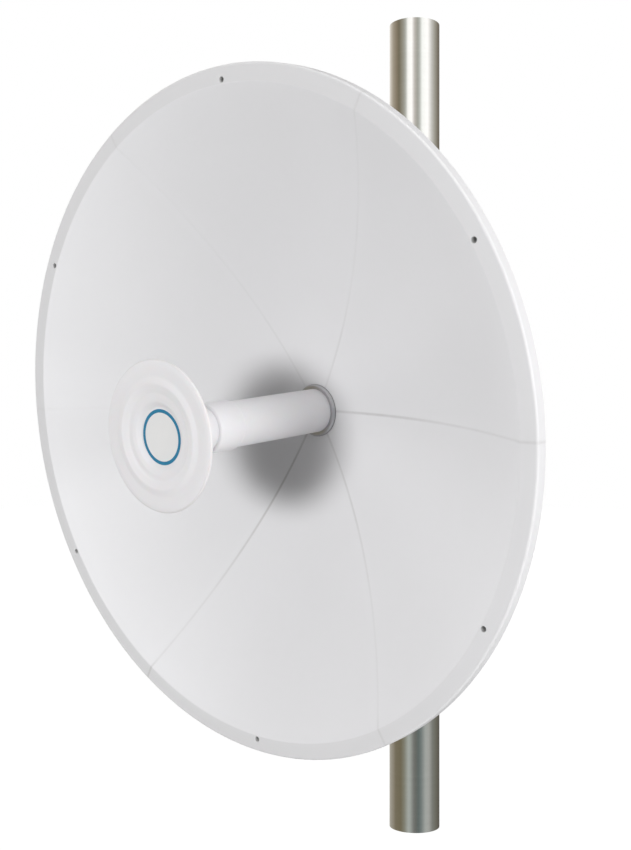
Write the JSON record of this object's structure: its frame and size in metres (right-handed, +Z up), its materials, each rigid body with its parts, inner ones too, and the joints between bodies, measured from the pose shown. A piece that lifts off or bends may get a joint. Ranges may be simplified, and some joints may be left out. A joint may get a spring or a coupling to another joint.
{
  "type": "parabolic dish antenna on a pole",
  "caption": "Round parabolic reflector in petals with a central tube feed, on a tilting yoke clamped to a round pole.",
  "frame": {"origin": "centre of the pole's flat foot", "axes": "+Z up along the pole, the dish faces -Y and points 8.25 degrees below level at rest, +X to the dish's right as seen from its front"},
  "size_m": [0.9038, 0.6029, 1.224],
  "materials": {
    "white_paint": "semi-gloss powder coat",
    "white_plastic": "semi-gloss",
    "polished_steel": "polished",
    "hub_steel": "turned",
    "cast_aluminium": "as cast",
    "galvanised_steel": "hot-dip galvanised",
    "zinc_bolt": "zinc plated",
    "label_film": "matt film",
    "connector_metal": "nickel plated"
  },
  "bodies": {
    "mast": {"pole": "polished_steel", "pole_foot_plate": "polished_steel", "pole_top_plate": "polished_steel"},
    "clamp": {"pole_bracket": "galvanised_steel", "upper_front_jaw": "cast_aluminium", "upper_rear_jaw": "cast_aluminium", "lower_front_jaw": "cast_aluminium", "lower_rear_jaw": "cast_aluminium", "upper_clamp_stud_left": "zinc_bolt", "upper_clamp_stud_right": "zinc_bolt", "lower_clamp_stud_left": "zinc_bolt", "lower_clamp_stud_right": "zinc_bolt"},
    "dish": {"tilt_yoke": "galvanised_steel", "pivot_bolt": "zinc_bolt", "lock_bolt": "zinc_bolt", "pivot_spacer_left": "zinc_bolt", "pivot_spacer_right": "zinc_bolt", "lock_spacer_left": "zinc_bolt", "lock_spacer_right": "zinc_bolt", "hub_casting": "cast_aluminium", "front_hub_ring": "hub_steel", "petal_1": "white_paint", "petal_2": "white_paint", "petal_3": "white_paint", "petal_4": "white_paint", "petal_5": "white_paint", "petal_6": "white_paint", "feed_tube": "white_plastic", "feed_collar": "white_plastic", "feed_neck": "white_plastic", "feed_disc": "white_plastic", "feed_label": "label_film", "feed_housing": "cast_aluminium", "connector_left": "connector_metal", "connector_right": "connector_metal"}
  },
  "joints": [
    {"name": "swivel", "type": "hinge", "parent": "mast", "child": "clamp", "pos_m": [0, 0, 0.643], "axis": [0, 0, 1], "range_deg": [-180, 180]},
    {"name": "tilt", "type": "hinge", "parent": "clamp", "child": "dish", "pos_m": [0, -0.125, 0.643], "axis": [-1, 0, 0], "range_deg": [-11.75, 28.25]}
  ]
}
